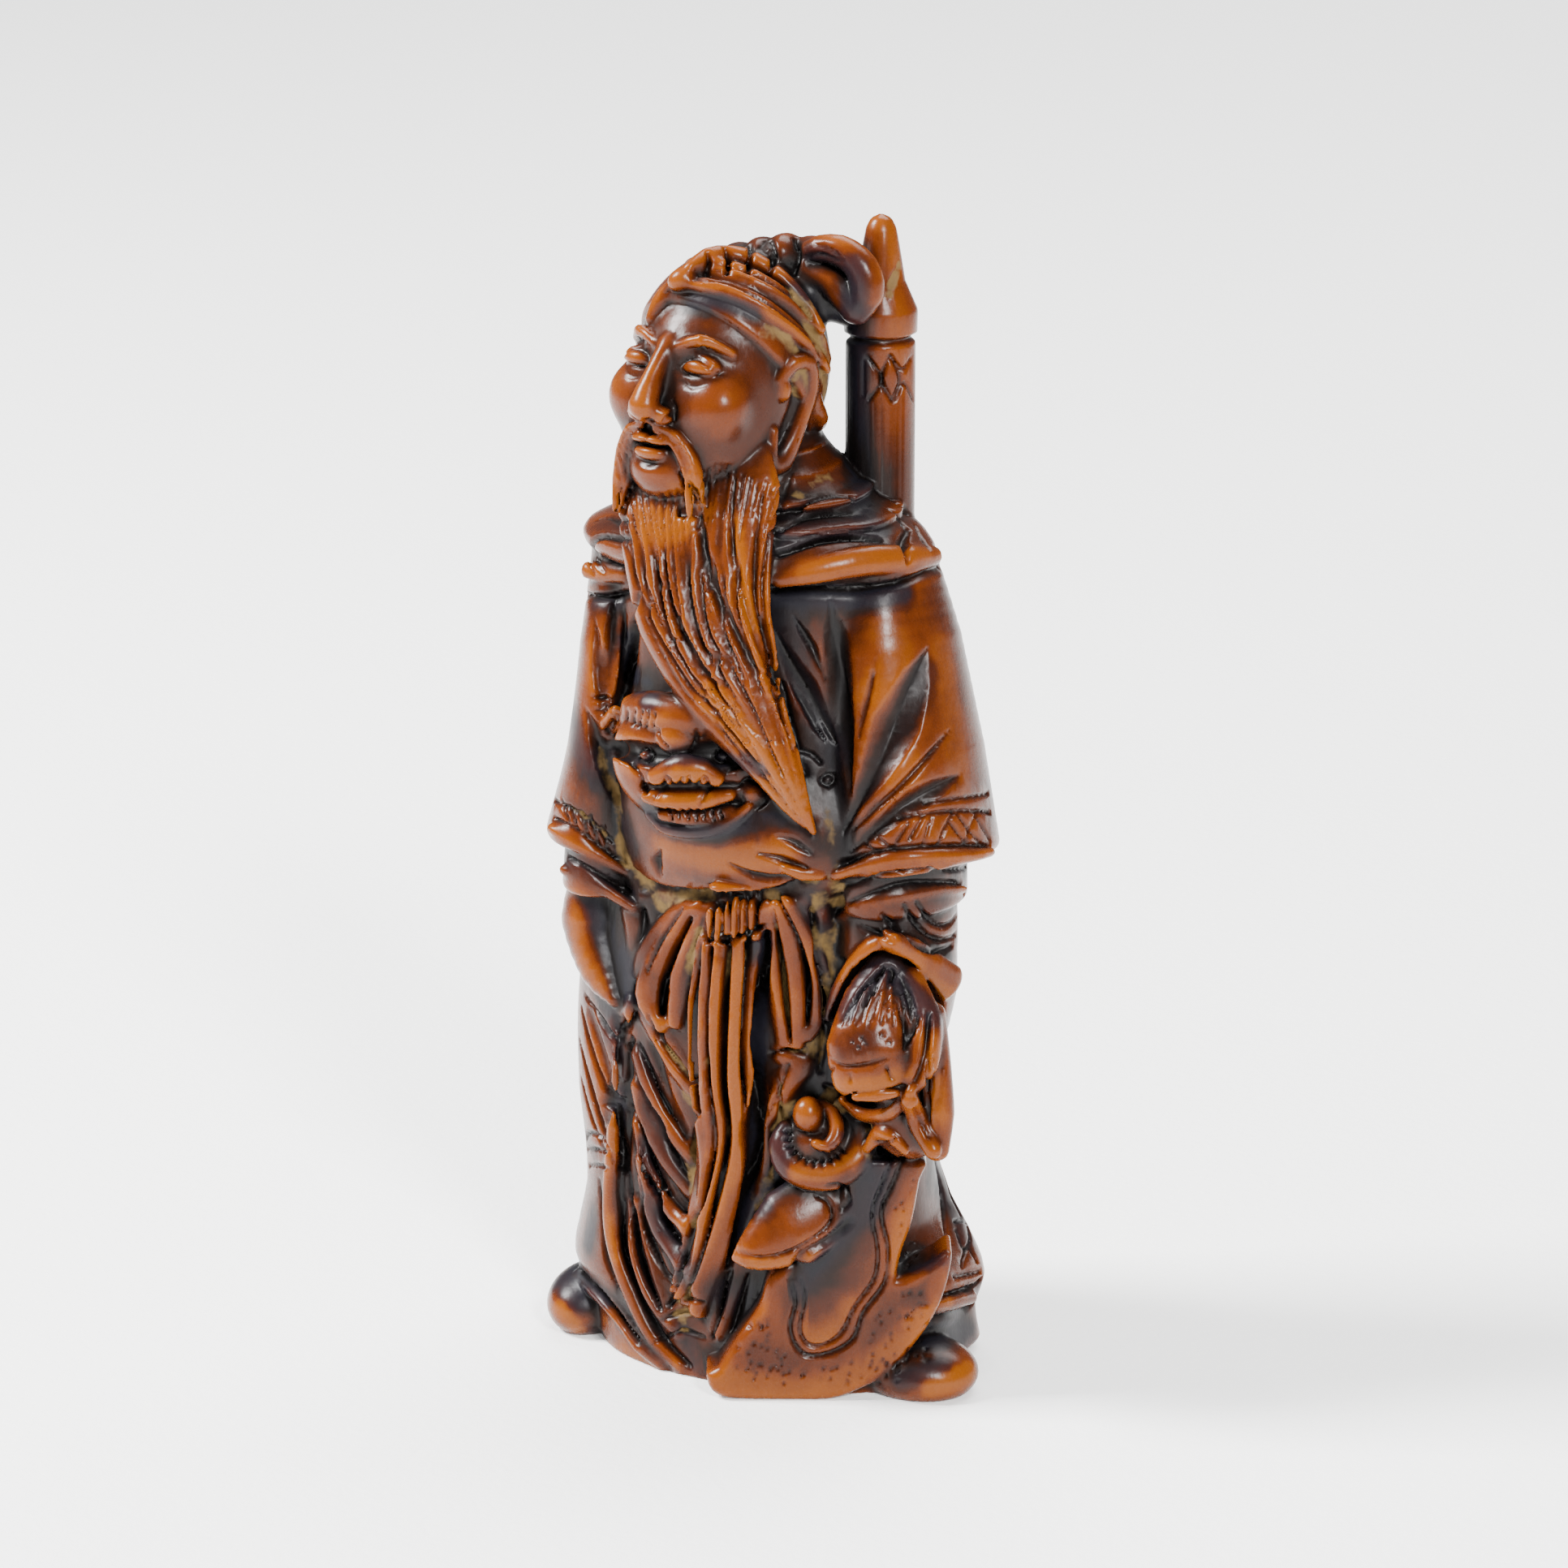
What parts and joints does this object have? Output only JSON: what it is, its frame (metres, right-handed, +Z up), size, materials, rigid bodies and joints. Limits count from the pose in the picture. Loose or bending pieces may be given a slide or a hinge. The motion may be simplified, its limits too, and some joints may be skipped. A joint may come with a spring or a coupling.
{
  "type": "netsuke",
  "caption": "Carved boxwood netsuke of a standing long-bearded general in robes, with a beast-mask belt clasp and a halberd held blade down; stands on its flat underside.",
  "frame": {"origin": "on the flat underside, below the figure's spine", "axes": "+Z up, the figure faces -Y, its own left hand is at +X"},
  "size_m": [0.0265, 0.0195, 0.0653],
  "materials": {
    "boxwood": "stained dark in the recesses, polished on the high places"
  },
  "bodies": {
    "root": {"carved_figure": "boxwood"}
  },
  "joints": []
}
